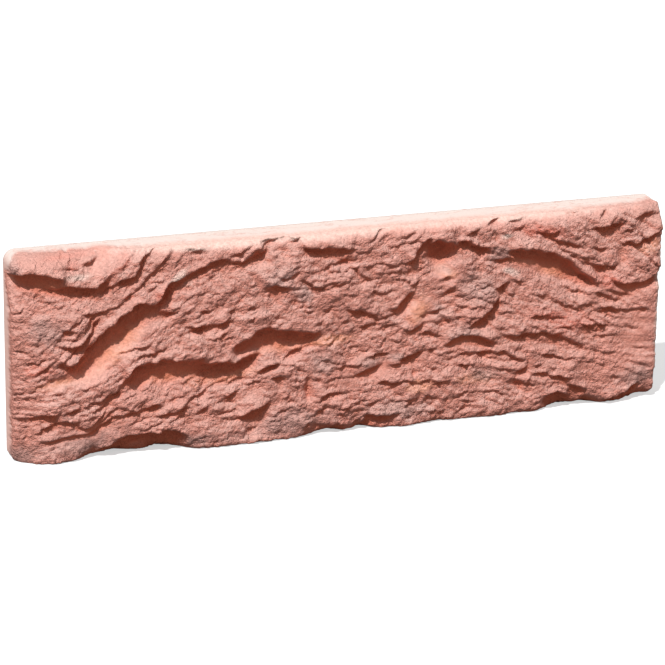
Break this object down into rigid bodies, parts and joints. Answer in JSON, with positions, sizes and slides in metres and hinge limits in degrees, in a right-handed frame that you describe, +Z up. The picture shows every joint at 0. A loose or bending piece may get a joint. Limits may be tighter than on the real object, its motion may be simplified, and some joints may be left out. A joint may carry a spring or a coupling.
{
  "type": "cladding stone",
  "caption": "Thin concrete wall cladding stone with a riven, slate-like face, square moulded edges and a flat back.",
  "frame": {"origin": "middle of the stone's length and depth, at the level of the long bottom edge it stands on", "axes": "+X along the length to the right as seen from the front, -Y out of the riven face, +Y out of the flat back, +Z up"},
  "size_m": [0.21, 0.0148, 0.065],
  "materials": {
    "concrete": "coloured cast concrete, terracotta pink, rough"
  },
  "bodies": {
    "root": {"cladding_stone": "concrete"}
  },
  "joints": []
}
